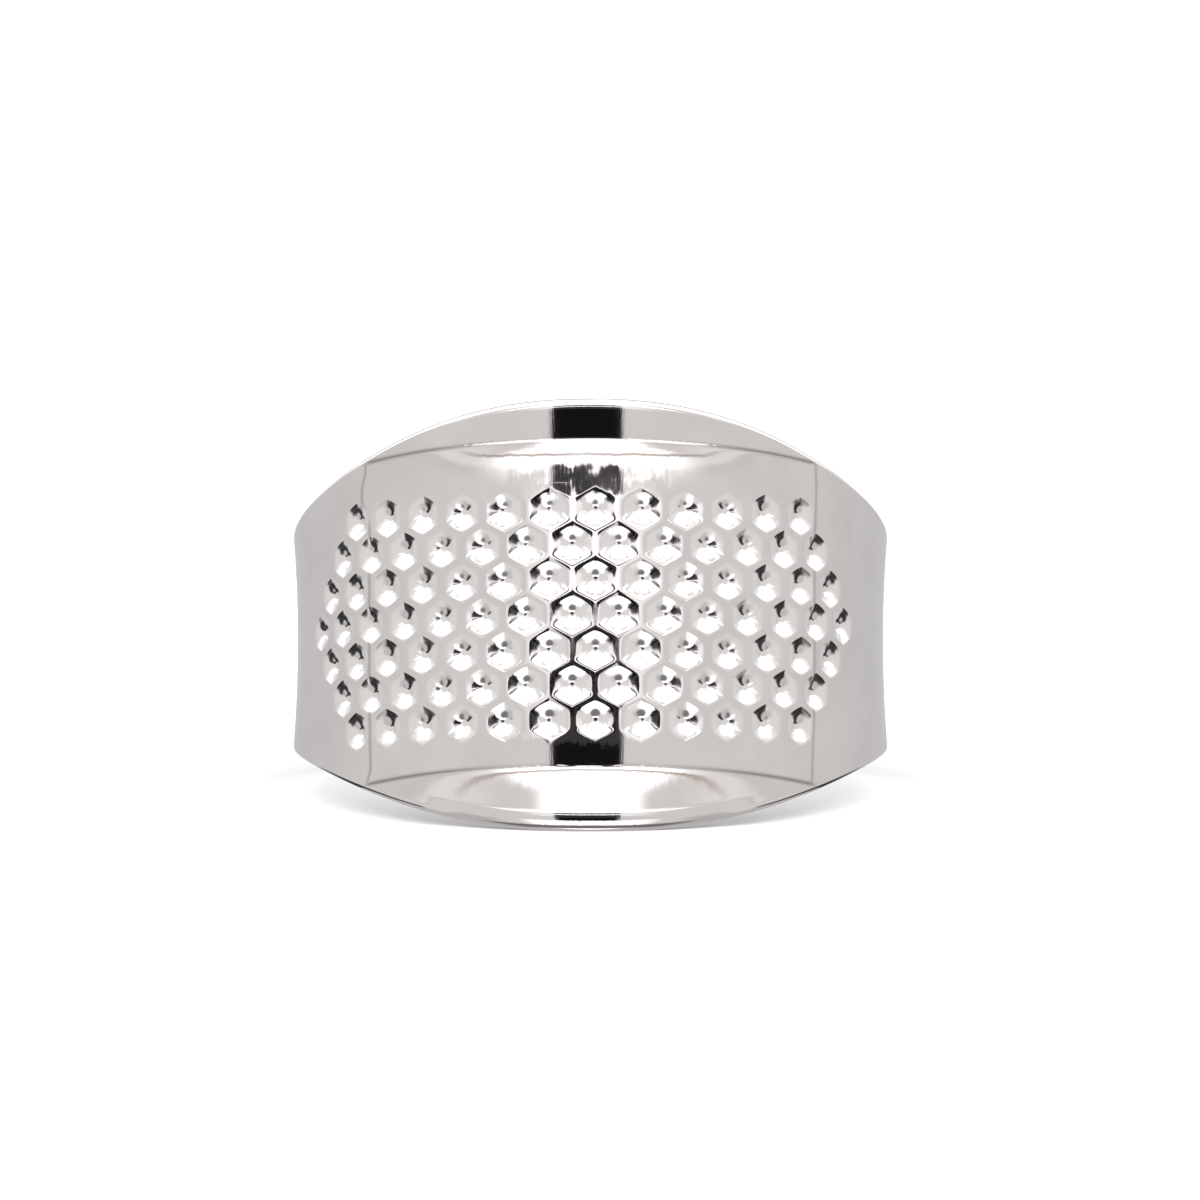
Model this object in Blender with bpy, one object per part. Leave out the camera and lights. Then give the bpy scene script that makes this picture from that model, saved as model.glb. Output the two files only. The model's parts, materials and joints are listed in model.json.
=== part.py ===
"""Open-back ring thimble: a dimpled metal finger ring for pushing a needle, open at both ends and split at the back.

The object is one pressed strip of plated sheet, rolled into a ring. A stiff dimpled front has a flared crescent lip
along its top and bottom edges, and two plain arms taper towards a gap at the back. The arms are bent by hand to fit a
finger, so each arm is cut into three stations that hinge on one another, which is where the sheet really bends.

The ring stands as it does on a table: on the bottom lip at the front and on the lower edges of both arm ends, so its
bore leans back. Metres, +Z up, the dimpled front faces -Y, +X is to the right of someone looking at the front.

Places on the strip are given in the ring's own axes: an angle in degrees round the bore, from the middle of the
front and positive to the right, a radius, and a distance "across" the strip, along the bore and positive upwards.
"""

import math

import bmesh
import bpy
from mathutils import Vector

MM = 0.001

# Ring and sheet
OUTER_RADIUS = 9.44 * MM
SHEET = 0.46 * MM
MID_SHEET_RADIUS = OUTER_RADIUS - SHEET / 2
END_ANGLE = 164.0  # half of the arc the strip covers

# Outline of the strip: half its width, front to arm ends
FRONT_HALF_WIDTH = 6.93 * MM
ARM_HALF_WIDTH = 2.90 * MM
TAPER_ANGLE = 69.4
TAPER_POWER = 2.25
END_CORNER_RADIUS = 1.30 * MM

# Fold lines at the foot of the lips. Both bow upwards in front, so the lower lip is the taller one.
# The bow is the change in distance from the middle of the strip, out to FOLD_END_ANGLE.
UPPER_FOLD, UPPER_FOLD_BOW = 5.62 * MM, -0.41 * MM
LOWER_FOLD, LOWER_FOLD_BOW = 4.82 * MM, 0.35 * MM
FOLD_END_ANGLE = 49.4
FOLD_BOW_LIMIT = 1.3  # the bow stops growing at this many times FOLD_END_ANGLE
LIP_ANGLE = 13.0
LIP_LEAN_HEIGHT = 0.4 * MM  # the trim of the lip's edge is full on lips at least this tall

# The panel rolls over towards each fold. The roll-over and the lips fade out between two angles.
ROLL_OVER = 0.20 * MM
ROLL_OVER_WIDTH = 1.30 * MM
FRONT_FADE = (42.0, 50.0)
SIDE_SETBACK, MIDDLE_SETBACK = 0.65, 0.30  # profile points short of the fold, in roll-over widths
LEAST_BAND = 0.10 * MM  # least distance between those points, where the strip is narrow

# Arms roll very slightly outwards along their edges
ROLL = 0.16 * MM
ROLL_START, ROLL_FULL = 60.0, 95.0
ROLL_FADE, ROLL_LAST = 115.0, 0.25  # the roll fades from this angle to this share of itself at the ends
ARM_PROFILE = (-1.0, -0.8, -0.45, 0.0, 0.45, 0.8, 1.0)  # profile points, in half widths

# Dimples: seven rows of flattened hexagons
ROW_COUNT = 7
MIDDLE_ROW_DIMPLES = 15
DIMPLE_PITCH = 1.472 * MM
ROW_PITCH = 1.125 * MM
PATTERN_SHIFT = 0.108  # in pitches, to the right of where rows sit half a pitch left of centre
ROW_SLANT = 0.0064  # rise of a row over its run to the right
DIMPLE_ACROSS = 1.24 * MM  # between the two upright sides
DIMPLE_TALL = 1.30 * MM  # between the top and bottom corners
DIMPLE_FLOOR = 0.52  # size of the floor over the size of the mouth
DIMPLE_DEPTH = 0.19 * MM
PUNCH_LEVELS = (  # height over OUTER_RADIUS, size over the size of the mouth
    (0.10 * MM, 1.0),
    (-0.03 * MM, 1.0),
    (-DIMPLE_DEPTH, DIMPLE_FLOOR),
)

# Bending stations of each arm, with the angle of the hinge each one turns on
STATIONS = (("root", 74.0), ("middle", 104.0), ("tip", 134.0))
HINGE_GAP = 0.10 * MM
HALF_GAP_ANGLE = math.degrees(HINGE_GAP / 2 / MID_SHEET_RADIUS)

# Mesh steps, in degrees
FRONT_STEP = 5.6
ARM_STEP = 6.0
END_CORNER_STEPS = 5  # count of steps round an arm end's corner
LEAN_START, LEAN_STEP = 90.0, 0.5  # where the search for the table contact starts, and its step
SHARP_ANGLE = 14.0

NICKEL = (0.735, 0.715, 0.690, 1.0)
NICKEL_ROUGHNESS = 0.14


def clear_scene():
    for obj in list(bpy.data.objects):
        bpy.data.objects.remove(obj, do_unlink=True)


def smooth_step(low, high, value):
    share = min(1.0, max(0.0, (value - low) / (high - low)))
    return share * share * (3.0 - 2.0 * share)


def spread(low, high, most):
    """Angles from low to high in equal steps of at most this many degrees."""
    steps = max(1, math.ceil((high - low) / most))
    return [low + (high - low) * i / steps for i in range(steps + 1)]


def ring_point(angle, radius, across):
    """A point in the ring's own axes: x to the right, y away from the viewer, z along the bore."""
    turn = math.radians(angle)
    return Vector((radius * math.sin(turn), -radius * math.cos(turn), across))


# Shape of the strip


def half_width(angle):
    """Half the strip's width at this angle, with the arm ends' corners rounded off."""
    angle = abs(angle)
    taper = math.exp(-((angle / TAPER_ANGLE) ** TAPER_POWER))
    width = ARM_HALF_WIDTH + (FRONT_HALF_WIDTH - ARM_HALF_WIDTH) * taper
    from_end = math.radians(END_ANGLE - angle) * MID_SHEET_RADIUS
    if from_end < END_CORNER_RADIUS:
        short = END_CORNER_RADIUS - max(0.0, from_end)
        width -= END_CORNER_RADIUS - math.sqrt(max(0.0, END_CORNER_RADIUS**2 - short**2))
    return width


def fold_distance(angle, is_upper):
    """Distance of the upper or the lower fold line from the middle of the strip."""
    share = min(abs(angle) / FOLD_END_ANGLE, FOLD_BOW_LIMIT) ** 2
    if is_upper:
        return UPPER_FOLD + UPPER_FOLD_BOW * share
    return LOWER_FOLD + LOWER_FOLD_BOW * share


def outer_radius(angle, across):
    """Radius of the outer skin at this place on the strip."""
    from_front, from_middle = abs(angle), abs(across)

    roll = ROLL * smooth_step(ROLL_START, ROLL_FULL, from_front)
    roll *= 1.0 - (1.0 - ROLL_LAST) * smooth_step(ROLL_FADE, END_ANGLE, from_front)
    radius = OUTER_RADIUS + roll * min(1.0, from_middle / half_width(angle)) ** 2

    past_fold = from_middle - fold_distance(angle, across > 0.0)
    front_share = 1.0 - smooth_step(*FRONT_FADE, from_front)
    reach = min(1.0, max(0.0, (past_fold + ROLL_OVER_WIDTH) / ROLL_OVER_WIDTH))
    radius -= ROLL_OVER * front_share * reach * reach
    if past_fold > 0.0:
        radius += past_fold * math.tan(math.radians(LIP_ANGLE)) * front_share
    return radius


def front_half_stations(angle, is_upper):
    """Distances of the front's profile points from the middle of the strip, on one side of it."""
    width = half_width(angle)
    fold = fold_distance(angle, is_upper)
    # The lip's outer edge stops short, so that the sheet's inner edge ends on the outline.
    lean = math.radians(LIP_ANGLE) * smooth_step(0.0, LIP_LEAN_HEIGHT, width - fold)
    edge = width - SHEET * math.sin(lean)
    foot = min(fold, edge - LEAST_BAND)
    middle = min(fold - MIDDLE_SETBACK * ROLL_OVER_WIDTH, foot - LEAST_BAND)
    side = min(fold - SIDE_SETBACK * ROLL_OVER_WIDTH, middle - LEAST_BAND)
    return [side, middle, foot, edge]


def front_profile(angle):
    """(radius, across) points of the front's outer skin, from the bottom edge to the top edge."""
    below = [-across for across in reversed(front_half_stations(angle, False))]
    above = front_half_stations(angle, True)
    return [(outer_radius(angle, across), across) for across in below + above]


def arm_profile(angle):
    """The same for a plain arm, which has neither fold nor lip."""
    width = half_width(angle)
    return [(outer_radius(angle, share * width), share * width) for share in ARM_PROFILE]


def inner_profile(outer):
    """The outer profile offset inwards by the sheet's thickness, square to the skin."""
    normals = []
    for (radius0, across0), (radius1, across1) in zip(outer, outer[1:]):
        length = math.hypot(radius1 - radius0, across1 - across0)
        normals.append(((across1 - across0) / length, -(radius1 - radius0) / length))
    points = []
    for i, (radius, across) in enumerate(outer):
        before = normals[max(0, i - 1)]
        after = normals[min(i, len(normals) - 1)]
        outward, upward = before[0] + after[0], before[1] + after[1]
        size = math.hypot(outward, upward)
        outward, upward = outward / size, upward / size
        # The mitre at a bend is longer than the sheet is thick.
        reach = SHEET / (outward * after[0] + upward * after[1])
        points.append((radius - outward * reach, across - upward * reach))
    return points


def lean_angle():
    """How far the ring leans back when its front lip and both arm ends touch the table."""
    front = ring_point(0.0, *inner_profile(front_profile(0.0))[0])
    least = 90.0
    for angle in spread(LEAN_START, END_ANGLE, LEAN_STEP):
        outer = arm_profile(angle)
        for lower_edge in (outer[0], inner_profile(outer)[0]):
            back = ring_point(angle, *lower_edge)
            rise = math.atan2(back.z - front.z, back.y - front.y)
            least = min(least, math.degrees(rise))
    return least


# Meshes


def finish_mesh(shape, name):
    """Turn the faces outwards and move the bmesh into a new mesh."""
    bmesh.ops.recalc_face_normals(shape, faces=shape.faces)
    mesh = bpy.data.meshes.new(name)
    shape.to_mesh(mesh)
    shape.free()
    return mesh


def strip_mesh(name, angles, profile, origin):
    """A closed length of the strip through these angles, with its points taken from origin."""
    shape = bmesh.new()
    rows = []
    for angle in angles:
        outer = profile(angle)
        rows.append([
            [shape.verts.new(ring_point(angle, *point) - origin) for point in skin]
            for skin in (outer, inner_profile(outer))
        ])
    last = len(rows[0][0]) - 1
    for (outer0, inner0), (outer1, inner1) in zip(rows, rows[1:]):
        for i in range(last):
            shape.faces.new((outer0[i], outer1[i], outer1[i + 1], outer0[i + 1]))
            shape.faces.new((inner0[i], inner0[i + 1], inner1[i + 1], inner1[i]))
        for i in (0, last):
            shape.faces.new((outer0[i], inner0[i], inner1[i], outer1[i]))
    for outer, inner in (rows[0], rows[-1]):
        for i in range(last):
            shape.faces.new((outer[i], outer[i + 1], inner[i + 1], inner[i]))
    mesh = finish_mesh(shape, name)
    mesh.shade_smooth()
    mesh.set_sharp_from_angle(angle=math.radians(SHARP_ANGLE))
    return mesh


def dimple_places():
    """(angle, across) of every dimple. Rows differ by one dimple, so they nest like a honeycomb."""
    for row in range(ROW_COUNT):
        step = row - ROW_COUNT // 2
        count = MIDDLE_ROW_DIMPLES - abs(step)
        for i in range(count):
            along = (i - count / 2 + PATTERN_SHIFT) * DIMPLE_PITCH
            yield math.degrees(along / OUTER_RADIUS), ROW_SLANT * along - step * ROW_PITCH


def add_punch(shape, angle, across):
    """Add one tapered hexagonal punch, with a corner at its top and at its bottom."""
    tangent = ring_point(angle + 90.0, 1.0, 0.0)
    rings = []
    for height, size in PUNCH_LEVELS:
        ring = []
        for corner in range(6):
            turn = math.radians(60.0 * corner + 30.0)
            along = math.cos(turn) / math.cos(math.radians(30.0))
            side = along * DIMPLE_ACROSS / 2 * size
            up = math.sin(turn) * DIMPLE_TALL / 2 * size
            base = ring_point(angle, OUTER_RADIUS + height, across + up)
            ring.append(shape.verts.new(base + tangent * side))
        rings.append(ring)
    for upper, lower in zip(rings, rings[1:]):
        for i in range(6):
            j = (i + 1) % 6
            shape.faces.new((upper[i], upper[j], lower[j], lower[i]))
    shape.faces.new(rings[0])
    shape.faces.new(rings[-1])


def cutter_mesh(name):
    """One mesh holding a punch for every dimple."""
    shape = bmesh.new()
    for angle, across in dimple_places():
        add_punch(shape, angle, across)
    return finish_mesh(shape, name)


# Objects


def nickel(name):
    material = bpy.data.materials.new(name)
    material.use_nodes = True
    shader = material.node_tree.nodes["Principled BSDF"]
    shader.inputs["Base Color"].default_value = NICKEL
    shader.inputs["Metallic"].default_value = 1.0
    shader.inputs["Roughness"].default_value = NICKEL_ROUGHNESS
    return material


def add_object(name, mesh, parent, location=(0.0, 0.0, 0.0)):
    """Link a new object, or an empty where mesh is None."""
    obj = bpy.data.objects.new(name, mesh)
    bpy.context.scene.collection.objects.link(obj)
    obj.parent = parent
    obj.location = location
    return obj


def add_strip(name, angles, profile, parent, origin):
    """Add a nickel length of the strip, whose parent sits at origin in the ring's axes."""
    mesh = strip_mesh(name, angles, profile, origin)
    mesh.materials.append(nickel(f"{name}_nickel"))
    return add_object(name, mesh, parent)


def build_front(ring):
    """The front panel with its lips, dimpled by a hidden cutter."""
    reach = STATIONS[0][1] - HALF_GAP_ANGLE
    angles = spread(-reach, reach, FRONT_STEP)
    front = add_strip("dimpled_front", angles, front_profile, ring, Vector())

    cutter = add_object("dimple_cutter", cutter_mesh("dimple_cutter"), ring)
    cutter.hide_render = True
    cutter.display_type = "WIRE"
    dimples = front.modifiers.new("dimples", "BOOLEAN")
    dimples.operation = "DIFFERENCE"
    dimples.solver = "EXACT"
    dimples.object = cutter
    return front


def tip_angles(low):
    """Angles of an arm's last station, closer together round the corners of its end."""
    corner_angle = END_CORNER_RADIUS / (math.radians(1.0) * MID_SHEET_RADIUS)
    corner = []
    for k in range(1, END_CORNER_STEPS + 1):
        turn = math.radians(90.0 * k / END_CORNER_STEPS)
        corner.append(END_ANGLE - corner_angle * (1.0 - math.sin(turn)))
    return spread(low, END_ANGLE - corner_angle, ARM_STEP) + corner


def build_arm(ring, side, sign):
    """One arm: stations from the front to the arm's end, each hinged on the one before."""
    pieces = []
    parent, parent_origin = ring, Vector()
    for i, (station, hinge_angle) in enumerate(STATIONS):
        name = f"{side}_arm_{station}"
        pivot = ring_point(sign * hinge_angle, MID_SHEET_RADIUS, 0.0)
        hinge = add_object(f"{name}_hinge", None, parent, pivot - parent_origin)
        low = hinge_angle + HALF_GAP_ANGLE
        if i + 1 < len(STATIONS):
            angles = spread(low, STATIONS[i + 1][1] - HALF_GAP_ANGLE, ARM_STEP)
        else:
            angles = tip_angles(low)
        signed_angles = [sign * angle for angle in angles]
        pieces.append(add_strip(name, signed_angles, arm_profile, hinge, pivot))
        parent, parent_origin = hinge, pivot
    return pieces


def stand_on_table(ring, pieces):
    """Set the lowest point on z = 0 and centre the ring's box on y = 0."""
    bpy.context.view_layer.update()
    points = [
        piece.matrix_world @ vertex.co for piece in pieces for vertex in piece.data.vertices
    ]
    low_y = min(point.y for point in points)
    high_y = max(point.y for point in points)
    ring.location = (0.0, -(low_y + high_y) / 2, -min(point.z for point in points))


def build():
    clear_scene()
    ring = add_object("ring_frame", None, None)
    ring.rotation_euler = (-math.radians(lean_angle()), 0.0, 0.0)
    pieces = [build_front(ring)]
    for side, sign in (("left", -1.0), ("right", 1.0)):
        pieces += build_arm(ring, side, sign)
    stand_on_table(ring, pieces)


build()
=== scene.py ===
"""A ring thimble: an open band of nickel-plated sheet, dimpled in front, with two arms bent round.

The strip is laid out by `deg`, the angle round the bore (0 in front, positive to the right, +X),
and by `w`, the height in mm along the bore from the strip's middle. The bore leans in the scene;
its axes come from the joints. Shapes are worked out in mm and built in metres.
"""
import json
import math

import bpy
import numpy as np
from mathutils import Matrix, Vector


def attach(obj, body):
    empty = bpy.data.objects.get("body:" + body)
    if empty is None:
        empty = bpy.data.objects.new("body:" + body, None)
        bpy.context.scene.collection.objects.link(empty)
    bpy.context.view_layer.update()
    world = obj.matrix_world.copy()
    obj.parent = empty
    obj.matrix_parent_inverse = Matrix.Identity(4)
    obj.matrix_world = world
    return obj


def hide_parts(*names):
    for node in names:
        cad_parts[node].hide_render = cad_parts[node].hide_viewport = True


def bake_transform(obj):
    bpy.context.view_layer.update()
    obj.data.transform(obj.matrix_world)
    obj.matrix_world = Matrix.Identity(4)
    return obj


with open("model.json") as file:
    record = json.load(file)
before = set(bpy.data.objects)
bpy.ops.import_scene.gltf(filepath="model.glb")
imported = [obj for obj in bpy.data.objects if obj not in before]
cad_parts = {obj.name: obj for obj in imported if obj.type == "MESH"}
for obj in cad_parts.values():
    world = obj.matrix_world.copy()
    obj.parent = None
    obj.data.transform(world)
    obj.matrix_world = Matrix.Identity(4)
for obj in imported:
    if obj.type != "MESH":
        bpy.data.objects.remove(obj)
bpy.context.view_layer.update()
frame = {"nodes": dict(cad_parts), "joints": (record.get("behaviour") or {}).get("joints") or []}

MM = 0.001

# ------------------------------------------------------------------ ring and its axes
R_OUT, SHEET = 9.44, 0.46  # outer radius and thickness
HALF_SHEET = SHEET / 2
R_MID = R_OUT - HALF_SHEET
END = 164.0  # degrees from the front to each free end
HINGE = math.radians(74.0)  # where the right arm's first joint lies
CAMERA_DROP = 5.5  # degrees that the camera stands under the ring's middle plane

hinge_joint = next(j for j in frame["joints"] if j["name"] == "right_arm_bend")
AXIS = Vector(hinge_joint["axis"]).normalized()
RIGHT = Vector((1.0, 0.0, 0.0))
BACK = AXIS.cross(RIGHT).normalized()  # away from the viewer, square to the bore
LEAN = math.atan2(-BACK.z, BACK.y)
CENTRE = (
    Vector(hinge_joint["pos_m"]) / MM
    - RIGHT * (R_MID * math.sin(HINGE))
    + BACK * (R_MID * math.cos(HINGE))
)
BASIS = np.array([list(RIGHT), list(BACK), list(AXIS)])  # rows
ORIGIN = np.array(list(CENTRE))


def to_world(deg, radius, across):
    turn = np.radians(deg)
    local = np.stack([radius * np.sin(turn), -radius * np.cos(turn), across], axis=-1)
    return (local @ BASIS + ORIGIN) * MM


def smooth(x, lo, hi):
    """0 at lo, 1 at hi, eased at both ends; lo may be the larger."""
    t = np.clip((x - lo) / (hi - lo), 0.0, 1.0)
    return t * t * (3.0 - 2.0 * t)


def fade(x, lo, hi):
    return 1.0 - smooth(x, lo, hi)


def round_off(distance, radius):
    """How far a quarter circle draws in at this distance from the end that it rounds."""
    short = np.clip(radius - distance, 0.0, radius)
    return radius - np.sqrt(np.maximum(0.0, radius**2 - short**2))


def integrate(knots, step=0.005, blur=7):
    """(distance, slope in degrees) knots to arrays of distance and height, corners blurred."""
    x, slope = np.array(knots, float).T
    fine = np.arange(x[0], x[-1] + step, step)
    value = np.interp(fine, x, np.tan(np.radians(slope)))
    value = np.convolve(np.pad(value, blur // 2, mode="edge"), np.ones(blur) / blur, mode="valid")
    height = np.concatenate([[0.0], np.cumsum((value[1:] + value[:-1]) / 2 * step)])
    return fine, height


# ------------------------------------------------------------------ outline of the strip
FRONT_HALF, ARM_HALF = 6.93, 2.90  # half widths
TAPER, POWER = 69.4, 2.25  # degrees over which the width falls, and how sharply
CORNER = 1.30  # radius at the free ends


def to_end(deg):
    return np.radians(END - np.abs(deg)) * R_MID


def half_width(deg):
    width = ARM_HALF + (FRONT_HALF - ARM_HALF) * np.exp(-((np.abs(deg) / TAPER) ** POWER))
    return width - round_off(to_end(deg), CORNER)


# ------------------------------------------------------------------ middle of the sheet
# the panel's roll towards the fold: mm from ROLL_RUN short of the fold, fall in degrees
ROLL_RUN = 2.30
ROLL = [(0.0, 0.0), (0.40, 0.5), (0.75, 1.3), (1.35, 2.4), (1.55, 3.6), (1.80, 5.4), (1.98, 6.8)]
ROLL_UP = integrate(ROLL + [(2.08, 7.4), (2.20, 10.0), (2.32, 15.0), (2.40, 17.0)])
ROLL_DOWN = integrate(ROLL + [(2.12, 8.0), (2.40, 8.6)])
ROLL_SIDE = integrate([(0.0, 0.0), (0.75, 0.6), (1.55, 1.4), (2.40, 2.4)])  # at the fold's ends
# the lip beyond the fold: mm from the fold, rise in degrees
LIP = integrate([
    (0.00, 0.0), (0.04, 1.5), (0.08, 5.4), (0.16, 6.9), (0.24, 7.7), (0.36, 8.1),
    (0.70, 9.0), (0.95, 9.6), (1.35, 10.2), (2.40, 10.4),
])
# a lip's sheared edge is drawn down over this width and by this slope, above and below
EDGE_ROLL, EDGE_SLOPE = (0.12, 0.36), np.tan(np.radians((16.0, 30.0)))
CROWN, CROWN_REACH = 0.0050, 5.4  # the panel's curvature across, 1/mm, and how high it goes
SADDLE = 0.16  # how far the edges of an arm flare out


def fold_height(deg, w):
    """Distance of the fold line from the middle. Both lines bow up in front."""
    bow = np.minimum(np.abs(deg) / 49.4, 1.3) ** 2
    return np.where(w > 0, 5.62 - 0.41 * bow, 4.82 + 0.35 * bow)


def roll_fall(turn, height, fold, upper):
    x = height - fold + ROLL_RUN
    middle = np.where(upper, np.interp(x, *ROLL_UP, left=0.0), np.interp(x, *ROLL_DOWN, left=0.0))
    return middle + smooth(turn, 20.0, 38.0) * (np.interp(x, *ROLL_SIDE, left=0.0) - middle)


def mid_radius(deg, w, half):
    turn, height = np.abs(deg), np.abs(w)
    fold = fold_height(deg, w)
    crowned = np.minimum(height, np.minimum(fold, CROWN_REACH))
    radius = R_MID - CROWN * crowned**2 * 0.5 * fade(turn, 50.0, 78.0)
    fall = roll_fall(turn, np.minimum(height, fold), fold, w > 0)
    radius = radius - fall * fade(turn, 44.0, 53.0)
    saddle = SADDLE * smooth(turn, 60.0, 95.0) * (1.0 - 0.75 * smooth(turn, 115.0, END))
    radius = radius + saddle * np.minimum(1.0, height / half) ** 2
    # the lip is lower towards its ends, and gone on the arms
    lip = fade(turn, 47.0, 53.0) * (1.0 - 0.36 * smooth(turn, 18.0, 40.0))
    radius = radius + np.interp(height - fold, *LIP, left=0.0) * lip
    roll = np.where(w > 0, *EDGE_ROLL)
    over = np.maximum(0.0, height - (half - HALF_SHEET - roll))
    drawn = 0.5 * np.where(w > 0, *EDGE_SLOPE) / roll * over**2
    return radius - drawn * fade(turn, 25.0, 35.0)


# ------------------------------------------------------------------ dimples, grooves and creases
PITCH, ROW = 1.472, 1.125  # dimple spacing round the ring and between rows
SIDE_ROWS, MIDDLE_COUNT = 3, 15  # rows above and below the middle; each outer row has one less
SHIFT = 0.108  # of the pitch, to the right
SLANT = 0.0064  # rise of the rows towards the right
CELL_ACROSS, CELL_TALL = PITCH / 2, ROW / 1.5
HEX_CORNER, HEX_TIP = 0.07, 0.10  # rounding of the hexagon's side corners and its tips
# dimple: mm from its middle, slope in degrees
PIT = integrate([
    (0, 0), (0.04, 1), (0.07, 7), (0.11, 18), (0.15, 26), (0.21, 27), (0.26, 25), (0.32, 21.5),
    (0.40, 17), (0.45, 14.8), (0.55, 14.6), (0.585, 12), (0.61, 8), (0.64, 3.5), (0.67, 0.7),
    (0.71, 0.1), (0.80, 0),
])
BUMP = 0.085  # height of the soft bump behind a dimple
GROOVE, GROOVE_WIDTH, GROOVE_IN = 0.006, 0.060, 0.02  # depth, width, place short of the fold
# creases: side, degrees at mid height, depth, then shifts as (from w, to w, degrees outwards)
CREASES = (
    (-1, 48.7, 0.016, ((2.9, 4.1, 2.6), (4.3, 4.9, -0.9), (-4.6, -5.2, 1.2))),
    (1, 49.6, 0.012, ((2.0, 4.6, 0.9), (-2.5, -4.5, -0.3))),
)
CREASE_WIDTH = 0.06


def hex_field(deg, w):
    """Millimetres from the nearest dimple's middle, by rounded hexagons that fill their cells."""
    s = np.radians(deg) * R_OUT
    w = w - SLANT * s
    best = np.full(np.broadcast(s, w).shape, 9.0)
    for row in range(-SIDE_ROWS, SIDE_ROWS + 1):
        n = MIDDLE_COUNT - abs(row)
        k = np.clip(np.round(s / PITCH - SHIFT + n / 2.0), 0, n - 1)
        dx = np.abs(s - (k - n / 2.0 + SHIFT) * PITCH) / CELL_ACROSS
        dy = np.abs(w + row * ROW) / CELL_TALL
        slanted = 0.5 * dx + dy
        rounding = np.exp(-np.abs(dx - slanted) / HEX_CORNER) - 1.0
        hexagon = np.maximum(dx, slanted) + 0.5 * HEX_CORNER * rounding
        hexagon = hexagon - HEX_TIP * 0.25 * np.exp(-dx / HEX_TIP) * hexagon
        # rounder towards the dimple's middle
        roundness = 0.75 * fade(hexagon, 0.45, 0.95)
        circle = np.sqrt(dx * dx + dy * dy)
        best = np.minimum(best, (1 - roundness) * hexagon + roundness * circle)
    return best * CELL_ACROSS


def crease_depth(deg, w):
    """Fine press marks across the strip where the lips end."""
    total = 0.0
    for side, place, depth, shifts in CREASES:
        for lo, hi, shift in shifts:
            place = place + shift * smooth(w, lo, hi)
        x = np.radians(deg - side * place) * R_OUT
        total = total + depth * np.exp(-((x / CREASE_WIDTH) ** 2)) * fade(np.abs(w), 5.1, 5.35)
    return total


def groove(deg, w):
    """Share of the fine line at the foot of each lip, strongest where the lips end."""
    x = (np.abs(w) - fold_height(deg, w) + GROOVE_IN) / GROOVE_WIDTH
    turn = np.abs(deg)
    strength = fade(turn, 48.5, 51.5) * (0.25 + 0.75 * smooth(turn, 10.0, 36.0))
    return np.exp(-(x * x)) * strength


def outer_press(deg, w):
    pit = PIT[1][-1] - np.interp(hex_field(deg, w), *PIT)
    return pit + crease_depth(deg, w) + GROOVE * groove(deg, w)


def inner_press(deg, w):
    """What shows on the inside: soft bumps behind the dimples, a ridge behind the fold."""
    return BUMP * fade(hex_field(deg, w), 0.05, 0.66) + GROOVE * groove(deg, w)


# ------------------------------------------------------------------ meshes
OUTER_N = 340  # points across the outer skin
INNER_N, EDGE_N = 110, 22  # across the inner skin and round each edge
FINE_STEP = 0.25  # degrees between sections, in front
ARM_STEP = 0.8  # the same on the arms
FINE_END = 73.0  # where the fine steps give way to the arm's
TIP_SECTIONS = 40  # round a free end's corners
FRONT_EDGE, SEAM_1, SEAM_2 = 67.0, 97.0, 127.0  # cuts between the pieces, degrees
EDGE_POWER = 2.0 / 2.5  # makes the sheared edge nearly flat, with rounded corners
THINNEST = 0.004  # half thickness left at a free end
PROBE = OUTER_N // 2  # a point in the middle of the outer skin


def section(deg):
    """Closed sections at these angles, as (angle, point): outer skin, top edge, inner, bottom."""
    deg = deg[:, None]
    half = half_width(deg)
    # the free ends are rounded like the edges: sections shrink towards them
    inset = round_off(to_end(deg), HALF_SHEET)
    thick = np.maximum(HALF_SHEET - inset, THINNEST)
    edge = half - HALF_SHEET - inset * 0.2

    def frame_at(w):
        """Radius, and the radial and axial parts of the sheet's normal."""
        e = 0.004
        rise = mid_radius(deg, w + e, half) - mid_radius(deg, w - e, half)
        slope = rise / (2 * e)
        size = np.sqrt(1 + slope * slope)
        return mid_radius(deg, w, half), 1 / size, -slope / size

    def skin(count, side, press):
        w = np.linspace(-side, side, count)[None, :] * edge
        radius, normal_r, normal_w = frame_at(w)
        lift = side * thick - press(deg, w)
        return radius + normal_r * lift, w + normal_w * lift

    def nose(side):
        w = side * edge
        radius, normal_r, normal_w = frame_at(w)
        turn = np.linspace(0.0, math.pi, EDGE_N + 2)[1:-1][None, ::side]
        lift = np.sign(np.cos(turn)) * np.abs(np.cos(turn)) ** EDGE_POWER
        out = side * np.abs(np.sin(turn)) ** EDGE_POWER
        return (
            radius + thick * (lift * normal_r - out * normal_w),
            w + thick * (lift * normal_w + out * normal_r),
        )

    parts = (skin(OUTER_N, 1, outer_press), nose(1), skin(INNER_N, -1, inner_press), nose(-1))
    radius, across = (np.concatenate(values, axis=1) for values in zip(*parts))
    return deg, radius, across


def unit(vectors):
    return vectors / np.maximum(np.linalg.norm(vectors, axis=-1, keepdims=True), 1e-30)


def skin_normals(core, along):
    around = np.roll(core, -1, axis=1) - np.roll(core, 1, axis=1)
    normal = unit(np.cross(along, around))
    outward = core[:, PROBE] - ORIGIN * MM
    return -normal if (normal[:, PROBE] * outward).sum() < 0 else normal


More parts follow.
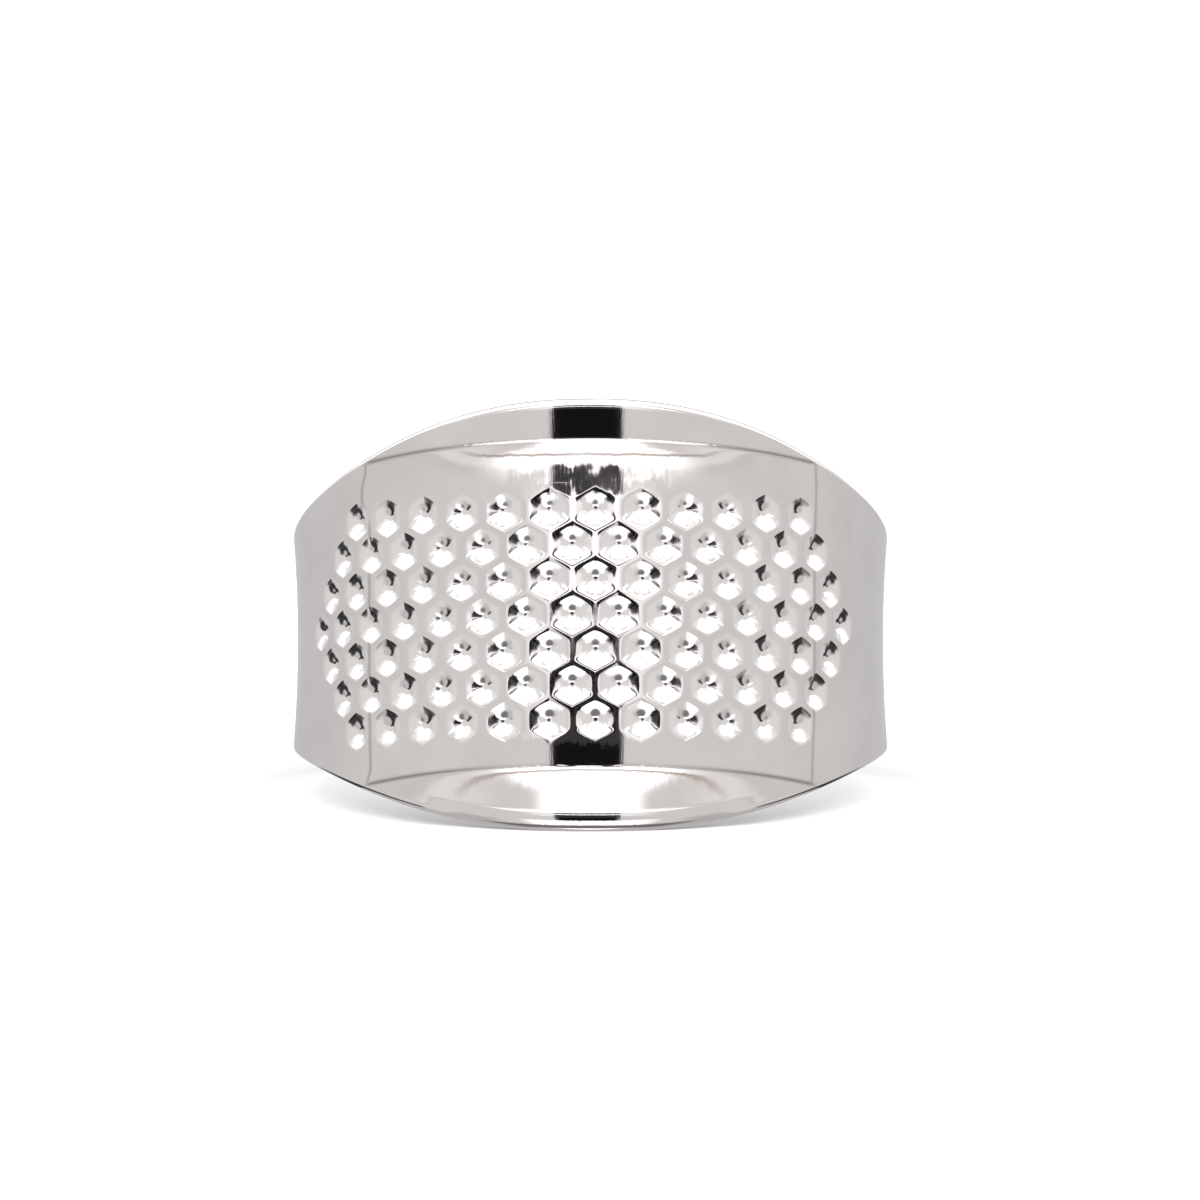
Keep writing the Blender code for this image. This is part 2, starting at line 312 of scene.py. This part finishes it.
def strip_faces(core, normal):
    """Quads round the strip, and a flat face with many corners for each cap."""
    rows, count = core.shape[:2]
    i = np.arange(rows - 1)[:, None] * count
    j = np.arange(count)[None, :]
    k = (j + 1) % count
    quads = np.stack([i + j, i + count + j, i + count + k, i + k], axis=-1).reshape(-1, 4)
    ring, last = np.arange(count), (rows - 1) * count
    a, b, c = core.reshape(-1, 3)[quads[PROBE, :3]]
    if np.dot(np.cross(b - a, c - b), normal.reshape(-1, 3)[quads[PROBE, 0]]) < 0:
        return quads[:, ::-1], ring, last + ring[::-1]
    return quads, ring[::-1], last + ring


def add_finish_data(mesh, loops, deg, across):
    """The laid-out sheet in mm as a UV map, and masks of where the press worked the skin; the
    material paints a highlight in the dimples and shade along the press lines.
    """
    uv = mesh.uv_layers.new(name="sheet")
    s = np.radians(deg) * R_OUT * np.ones(across.shape)
    sheet = np.stack([s, across], axis=-1).reshape(-1, 2)
    uv.data.foreach_set("uv", sheet[loops].astype(np.float32).ravel())

    outside = np.zeros(across.shape)
    outside[:, :OUTER_N] = 1.0
    pit = outside * fade(hex_field(deg, across), 0.46, 0.62)
    # the press lines' mask, creases and lip grooves, darkens the skin there as painted shade
    crease = 0.55 * np.minimum(1.0, crease_depth(deg, across) / 0.012)
    line = outside * np.maximum(crease, groove(deg, across))
    for label, values in (("pit", pit), ("press_line_shade", line)):
        mask = mesh.attributes.new(label, "FLOAT", "POINT")
        mask.data.foreach_set("value", values.astype(np.float32).ravel())


def strip_piece(name, angles, free_end=False):
    """A closed length of the strip, its last angle at the free end if it has one."""
    # normals use one more section at each cut, so that pieces meet unseen
    first = angles[0] - (angles[1] - angles[0])
    last = angles[-1] if free_end else angles[-1] + (angles[-1] - angles[-2])
    deg, radius, across = section(np.r_[first, angles, last])
    points = to_world(deg, radius, across)
    along = points[2:] - points[:-2]
    core = points[1:-1]
    normal = skin_normals(core, along)
    if free_end:
        normal[-1] = unit(along[-2, :1])

    quads, start_cap, end_cap = strip_faces(core, normal)
    count = core.shape[1]
    loops = np.concatenate([quads.ravel(), start_cap, end_cap]).astype(np.int32)
    side_loops = quads.size
    starts = np.r_[np.arange(len(quads)) * 4, side_loops, side_loops + count].astype(np.int32)

    mesh = bpy.data.meshes.new(name)
    mesh.vertices.add(core.shape[0] * count)
    mesh.vertices.foreach_set("co", core.astype(np.float32).ravel())
    mesh.loops.add(len(loops))
    mesh.loops.foreach_set("vertex_index", loops)
    mesh.polygons.add(len(starts))
    mesh.polygons.foreach_set("loop_start", starts)
    smooth_flags = np.ones(len(starts), bool)
    smooth_flags[-2:] = False  # the caps keep their normals apart from the skin's
    mesh.polygons.foreach_set("use_smooth", smooth_flags)
    mesh.update(calc_edges=True)
    mesh.validate()
    add_finish_data(mesh, loops, deg[1:-1], across[1:-1])

    loop_normals = normal.reshape(-1, 3)[loops]
    loop_normals[side_loops : side_loops + count] = -unit(along[0, 0])
    loop_normals[side_loops + count :] = unit(along[-2, 0])
    mesh.normals_split_custom_set([tuple(n) for n in loop_normals])

    obj = bpy.data.objects.new(name, mesh)
    bpy.context.scene.collection.objects.link(obj)
    return obj


def steps(lo, hi, step):
    return np.linspace(lo, hi, max(2, math.ceil(abs(hi - lo) / step) + 1))


def arm_angles():
    """Section angles of one arm's three skins, from the front to the free end."""
    corner = CORNER / (math.radians(1.0) * R_MID)  # in degrees
    curve = END - corner * (1.0 - np.sin(np.radians(np.linspace(0, 90, TIP_SECTIONS))))
    fine = steps(FRONT_EDGE, FINE_END, FINE_STEP)[:-1]
    return {
        "bend": np.r_[fine, steps(FINE_END, SEAM_1, ARM_STEP)],
        "middle": steps(SEAM_1, SEAM_2, ARM_STEP),
        "tip": np.r_[steps(SEAM_2, END - corner, ARM_STEP)[:-1], curve],
    }


SIDES = (("left", -1.0), ("right", 1.0))
# skin, CAD piece that it stands for, degrees where its blend would start and end (not used here)
ARM_PARTS = (
    ("bend", "root", FRONT_EDGE, 84.0),
    ("middle", "middle", SEAM_1, 112.0),
    ("tip", "tip", SEAM_2, 142.0),
)


pieces = {"front_skin": strip_piece("front_skin", steps(-FRONT_EDGE, FRONT_EDGE, FINE_STEP))}
for side, sign in SIDES:
    for part, angles in arm_angles().items():
        name = f"{side}_arm_{part}_skin"
        pieces[name] = strip_piece(name, sign * angles, free_end=part == "tip")

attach(pieces["front_skin"], "dimpled_front")
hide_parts("dimpled_front")
for side, sign in SIDES:
    for part, cad_part, lo, hi in ARM_PARTS:
        piece = pieces[f"{side}_arm_{part}_skin"]
        cad = f"{side}_arm_{cad_part}"
        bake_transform(piece)
        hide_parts(cad)


# ------------------------------------------------------------------ node helpers
class Graph:
    def __init__(self, tree):
        self.tree, self.x = tree, 0

    def node(self, kind, **settings):
        node = self.tree.nodes.new(kind)
        node.location = (self.x, 0)
        self.x += 40
        for key, value in settings.items():
            setattr(node, key, value)
        return node

    def feed(self, socket, value):
        if hasattr(value, "is_output"):
            self.tree.links.new(value, socket)
        else:
            socket.default_value = value

    def build(self, kind, *values, **settings):
        """A node with its inputs fed in order."""
        node = self.node(kind, **settings)
        for socket, value in zip(node.inputs, values):
            self.feed(socket, value)
        return node.outputs

    def math(self, op, a, b=0.0):
        return self.build("ShaderNodeMath", a, b, 0.0, operation=op)[0]

    def add(self, a, b):
        return self.math("ADD", a, b)

    def sub(self, a, b):
        return self.math("SUBTRACT", a, b)

    def mul(self, a, b):
        return self.math("MULTIPLY", a, b)

    def rise(self, value, lo, hi):
        """0 at lo, 1 at hi; lo may be the larger."""
        kind = "ShaderNodeMapRange"
        return self.build(kind, value, lo, hi, 0.0, 1.0, interpolation_type="SMOOTHSTEP")[0]

    def fall(self, value, lo, hi):
        return self.sub(1.0, self.rise(value, lo, hi))

    def band(self, value, lo, hi, soft):
        rising = self.rise(value, lo - soft, lo + soft)
        return self.mul(rising, self.fall(value, hi - soft, hi + soft))

    def mix(self, share, start, to):
        """Numbers: start + share * (to - start)."""
        return self.add(start, self.mul(share, self.sub(to, start)))

    def colour(self, share, start, to):
        node = self.node("ShaderNodeMix", data_type="RGBA")
        for index, value in ((0, share), (6, start), (7, to)):
            self.feed(node.inputs[index], value)
        return node.outputs[2]

    def vector(self, op, *values):
        return self.build("ShaderNodeVectorMath", *values, operation=op)[0]

    def split(self, vector):
        return self.build("ShaderNodeSeparateXYZ", vector)

    def noise(self, vector, scale, detail, rough):
        node = self.node("ShaderNodeTexNoise")
        inputs = {"Vector": vector, "Scale": scale, "Detail": detail, "Roughness": rough}
        for key, value in inputs.items():
            self.feed(node.inputs[key], value)
        return node.outputs[0]

    def streaks(self, vector, across, along, detail, rough, turn=0.0):
        """Noise with this many features per mm across and along the bore, turned in radians."""
        node = self.node("ShaderNodeMapping")
        self.feed(node.inputs["Vector"], vector)
        node.inputs["Scale"].default_value = (across, along, 1.0)
        node.inputs["Rotation"].default_value = (0.0, 0.0, turn)
        return self.noise(node.outputs[0], scale=1.0, detail=detail, rough=rough)


# ------------------------------------------------------------------ nickel plate
NICKEL = (0.815, 0.772, 0.752, 1.0)
NICKEL_SMUDGED = (0.765, 0.722, 0.705, 1.0)
NICKEL_SCRATCH = (0.55, 0.53, 0.52, 1.0)
# painted highlight: the dimples' metal is tinted lighter to stand in for their highlights' glow
NICKEL_PIT_HIGHLIGHT = (0.93, 0.90, 0.885, 1.0)
# painted shade: the dark tint laid along the creases and grooves, where they would be shaded
NICKEL_LINE_SHADE = (0.28, 0.24, 0.25, 1.0)


def scratches(g, sheet):
    """Stray scratches in two slanted directions, in patches."""
    cloud = g.noise(sheet, scale=0.9, detail=2.0, rough=0.5)
    steep = g.streaks(sheet, across=14.0, along=0.55, detail=1.0, rough=0.5, turn=0.62)
    level = g.streaks(sheet, across=0.5, along=16.0, detail=1.0, rough=0.5, turn=-0.35)
    marks = g.math("MAXIMUM", g.rise(steep, 0.70, 0.78), g.rise(level, 0.71, 0.79))
    return g.mul(marks, g.rise(cloud, 0.45, 0.62))


def polish_bump(g, sheet, marks):
    """Short uneven polishing lines along the bore, the sheet's soft waves, and scratches."""
    lines = g.streaks(sheet, across=9.0, along=0.9, detail=3.0, rough=0.65)
    fine_lines = g.streaks(sheet, across=26.0, along=1.6, detail=2.0, rough=0.6, turn=0.03)
    waves = g.noise(sheet, scale=0.55, detail=1.0, rough=0.4)
    height = g.add(g.mul(lines, 0.5), g.mul(fine_lines, 0.25))
    height = g.add(height, g.mul(waves, 1.2))
    height = g.sub(height, g.mul(marks, 0.22))
    bump = g.node("ShaderNodeBump")
    bump.inputs["Strength"].default_value = 0.35
    bump.inputs["Distance"].default_value = 0.0000042
    g.feed(bump.inputs["Height"], height)
    return bump.outputs[0]


def drawn_normal(g, sheet, normal):
    """Tilts the normal along the bore by streaks and patches, most near the front's edges."""
    tangent = g.node("ShaderNodeTangent", direction_type="UV_MAP", uv_map="sheet").outputs[0]
    along_bore = g.vector("CROSS_PRODUCT", normal, tangent)
    streak = g.sub(g.streaks(sheet, across=7.5, along=0.45, detail=2.0, rough=0.6), 0.5)
    patch = g.sub(g.streaks(sheet, across=2.2, along=1.7, detail=2.0, rough=0.5), 0.5)
    # zones in mm: `drawn` lies inside the folds, `rim` on the lips' outer edges
    s, w = g.split(sheet)[:2]
    near = g.fall(g.math("ABSOLUTE", s), 1.5, 3.2)
    high = g.math("ABSOLUTE", w)
    zone = g.mul(near, g.rise(high, 3.4, 3.9))
    drawn = g.mul(zone, g.fall(high, 4.55, 5.0))
    rim = g.mul(zone, g.rise(high, 6.0, 6.5))
    # tilt as a slope: everywhere, then more in each zone
    streak_tilt = g.add(0.010, g.add(g.mul(drawn, 0.050), g.mul(rim, 0.045)))
    patch_tilt = g.add(0.010, g.mul(drawn, 0.085))
    tilt = g.add(g.mul(streak, streak_tilt), g.mul(patch, patch_tilt))
    scaled = g.node("ShaderNodeVectorMath", operation="SCALE")
    g.feed(scaled.inputs[0], along_bore)
    g.feed(scaled.inputs["Scale"], tilt)
    return g.vector("NORMALIZE", g.vector("ADD", normal, scaled.outputs[0]))


def nickel():
    material = bpy.data.materials.new("polished_nickel")
    material.use_nodes = True
    g = Graph(material.node_tree)
    shader = g.tree.nodes["Principled BSDF"].inputs
    sheet = g.node("ShaderNodeUVMap", uv_map="sheet").outputs[0]
    marks = scratches(g, sheet)
    g.feed(shader["Normal"], drawn_normal(g, sheet, polish_bump(g, sheet, marks)))

    smudge = g.noise(sheet, scale=0.35, detail=3.0, rough=0.6)
    pit = g.node("ShaderNodeAttribute", attribute_name="pit").outputs["Fac"]
    line = g.node("ShaderNodeAttribute", attribute_name="press_line_shade").outputs["Fac"]
    # polished, and duller in smudges, scratches and dimples
    rough = g.add(0.055, g.mul(g.rise(smudge, 0.45, 0.75), 0.05))
    rough = g.add(rough, g.mul(marks, 0.05))
    g.feed(shader["Roughness"], g.add(rough, g.mul(pit, 0.07)))

    tint = g.colour(g.rise(smudge, 0.35, 0.7), NICKEL, NICKEL_SMUDGED)
    tint = g.colour(g.mul(marks, 0.20), tint, NICKEL_SCRATCH)
    # painted highlight: the dimples are tinted lighter than the plate
    tint = g.colour(g.mul(pit, 0.80), tint, NICKEL_PIT_HIGHLIGHT)
    # painted shade along the creases and grooves, kept out of the dimples
    line = g.mul(line, g.sub(1.0, pit))
    g.feed(shader["Base Color"], g.colour(g.mul(line, 0.90), tint, NICKEL_LINE_SHADE))
    shader["Metallic"].default_value = 1.0
    return material


plate = nickel()
for piece in pieces.values():
    piece.data.materials.append(plate)
for node in frame["nodes"].values():
    for slot in node.material_slots:
        slot.material = plate


# ------------------------------------------------------------------ studio
# Directions are in degrees: `az` from the front, positive to the right, `side` its size, `el` up
# from the ring's plane, and `tilt`, how far a mirror in front leans up to show that height.
def room_light(g, side, tilt, el):
    """Walls, table and ceiling. Returns the strength, and the mask of the two dim lines."""
    light = g.mix(g.rise(side, 60.0, 170.0), 0.76, to=0.62)
    # glow round the front card
    light = g.mix(g.mul(g.fall(side, 16.0, 32.0), g.band(tilt, -3.0, 2.6, soft=1.0)), light, to=1.12)
    # low down: dim at the sides, a dark strip towards the back, a bright table in front
    low = g.mul(g.rise(tilt, -12.0, -16.0), g.rise(side, 40.0, 60.0))
    light = g.mix(low, light, to=0.56)
    rear = g.mul(g.rise(side, 73.0, 86.0), g.fall(side, 146.0, 162.0))
    light = g.mix(g.mul(g.band(tilt, -14.0, -7.4, soft=0.6), rear), light, to=0.03)
    table = g.mul(g.rise(tilt, -11.4, -12.2), g.fall(side, 22.0, 38.0))
    light = g.mix(table, light, to=1.7)
    near_table = g.mul(g.band(el, -64.0, -36.0, soft=2.5), g.fall(side, 50.0, 80.0))
    light = g.mix(near_table, light, to=0.2)
    # a dimmer rim above, then the pale wall
    outer = g.rise(side, 36.0, 50.0)
    light = g.mix(g.mul(outer, g.band(tilt, 3.4, 4.8, soft=0.4)), light, to=0.7)
    light = g.mix(g.mul(outer, g.band(tilt, 4.8, 10.9, soft=0.4)), light, to=0.88)
    # bright in front: a soft glow with an oval over it, narrower towards its top
    glow = g.mul(g.rise(tilt, 2.6, 5.2), g.fall(tilt, 7.0, 7.6))
    light = g.mix(g.mul(g.fall(side, 26.0, 50.0), glow), light, to=2.0)
    reach = g.mix(g.rise(tilt, 7.4, 9.2), 33.0, to=20.0)
    oval = g.rise(g.sub(side, reach), 6.0, -6.0)
    light = g.mix(g.mul(oval, g.band(tilt, 7.2, 11.2, soft=0.25)), light, to=2.0)
    # the ceiling starts at the sill, which comes down towards the back
    flank = g.mul(g.math("COSINE", g.mul(side, math.pi / 360.0)), 13.2)
    sill = g.mix(g.rise(side, 40.0, 56.0), 11.1, to=flank)
    ceiling = g.mul(g.rise(g.sub(tilt, sill), -0.7, 0.7), g.fall(side, 116.0, 132.0))
    light = g.mix(g.math("MAXIMUM", ceiling, g.rise(tilt, 32.0, 38.0)), light, to=2.1)
    # dim lines under the oval and across the ceiling
    edge = g.mul(g.band(tilt, 6.6, 7.2, soft=0.18), g.fall(side, 40.0, 60.0))
    light = g.mix(edge, light, to=0.40)
    seam = g.mul(g.band(tilt, 13.8, 15.2, soft=0.3), g.fall(side, 40.0, 70.0))
    light = g.mix(seam, light, to=0.34)
    return light, g.math("MAXIMUM", edge, seam)


def front_card(g, light, az, tilt):
    """A bright card with a dark bar across it, and the dark slit under it."""
    inside = g.mul(g.rise(az, -16.2, -14.8), g.fall(az, 12.0, 13.4))
    for lo, hi, soft, strength in (
        (0.1, 5.2, 0.12, 1.6),  # card
        (1.7, 4.3, 0.12, 0.05),  # bar
        (-11.7, 0.1, 0.12, 0.008),  # slit
        (-5.2, -2.3, 0.5, 0.05),  # fainter dark in the slit
    ):
        light = g.mix(g.mul(inside, g.band(tilt, lo, hi, soft)), light, to=strength)
    return light, inside


def overhead_spot(g, light, x, y, z):
    """A small dark round opening almost straight above."""
    off_x = g.math("POWER", g.math("ABSOLUTE", g.add(x, 0.045)), 2.0)
    off_y = g.math("POWER", g.math("ABSOLUTE", y), 2.0)
    spot = g.mul(g.fall(g.add(off_x, off_y), 0.004, 0.009), g.rise(z, 0.5, 0.6))
    return g.mix(spot, light, to=0.02)


def studio_world():
    """A pale tent round the ring, plain and even where the camera sees it directly."""
    world = bpy.data.worlds.new("tent")
    bpy.context.scene.world = world
    world.use_nodes = True
    g = Graph(world.node_tree)
    background = g.tree.nodes["Background"]
    turned = g.node("ShaderNodeVectorRotate", rotation_type="X_AXIS")
    g.feed(turned.inputs["Vector"], g.node("ShaderNodeTexCoord").outputs["Generated"])
    turned.inputs["Angle"].default_value = LEAN
    x, y, z = g.split(turned.outputs[0])
    az = g.mul(g.math("ARCTAN2", x, g.mul(y, -1.0)), 180.0 / math.pi)
    el = g.mul(g.math("ARCSINE", z), 180.0 / math.pi)
    side = g.math("ABSOLUTE", az)
    tilt = g.mul(g.sub(el, CAMERA_DROP), 0.5)

    light, lines = room_light(g, side, tilt, el)
    light, inside = front_card(g, light, az, tilt)
    light = overhead_spot(g, light, x, y, z)
    seen = g.node("ShaderNodeLightPath").outputs["Is Camera Ray"]
    g.feed(background.inputs["Strength"], g.mix(seen, light, to=0.95))

    white = (1.0, 1.0, 1.0, 1.0)
    # bluish at the back, brownish in the dim lines, violet in the card
    tint = g.colour(g.rise(side, 105.0, 170.0), white, (0.98, 0.985, 1.045, 1.0))
    tint = g.colour(lines, tint, (1.0, 0.86, 0.78, 1.0))
    tint = g.colour(inside, tint, (0.96, 0.94, 1.0, 1.0))
    g.feed(background.inputs["Color"], g.colour(seen, tint, white))
    g.feed(g.tree.nodes["World Output"].inputs[0], background.outputs[0])


def floor():
    mesh = bpy.data.meshes.new("floor")
    half = 6.0  # metres
    corners = [(-half, -half, 0), (half, -half, 0), (half, half, 0), (-half, half, 0)]
    mesh.from_pydata(corners, [], [(0, 1, 2, 3)])
    obj = bpy.data.objects.new("floor", mesh)
    bpy.context.scene.collection.objects.link(obj)
    material = bpy.data.materials.new("pale_floor")
    material.use_nodes = True
    shader = material.node_tree.nodes["Principled BSDF"].inputs
    shader["Base Color"].default_value = (0.86, 0.86, 0.855, 1.0)
    shader["Roughness"].default_value = 0.9
    shader["Specular IOR Level"].default_value = 0.0
    mesh.materials.append(material)
    obj.visible_glossy = False


studio_world()
floor()
scene = bpy.context.scene
scene.view_settings.view_transform = "Standard"
scene.view_settings.look = "None"

# ------------------------------------------------------------------ camera: a long lens
DISTANCE, SENSOR, LENS = 800.0, 36.0, 744.0
AIM_RIGHT, AIM_UP = 0.306452, 1.348387  # aim point from the ring's centre

down = math.radians(CAMERA_DROP)
to_camera = (BACK * -math.cos(down) + AXIS * -math.sin(down)).normalized()
up = (AXIS * math.cos(down) - BACK * math.sin(down)).normalized()
across = up.cross(to_camera).normalized()
camera_data = bpy.data.cameras.new("camera")
camera_data.sensor_width = SENSOR
camera_data.lens = LENS
camera_data.clip_start, camera_data.clip_end = 0.01, 50.0
camera = bpy.data.objects.new("camera", camera_data)
scene.collection.objects.link(camera)
scene.camera = camera
camera.location = (CENTRE + RIGHT * AIM_RIGHT + up * AIM_UP + to_camera * DISTANCE) * MM
camera.rotation_mode = "QUATERNION"
turn = Matrix((across, to_camera.cross(across), to_camera)).transposed()
camera.rotation_quaternion = turn.to_quaternion()
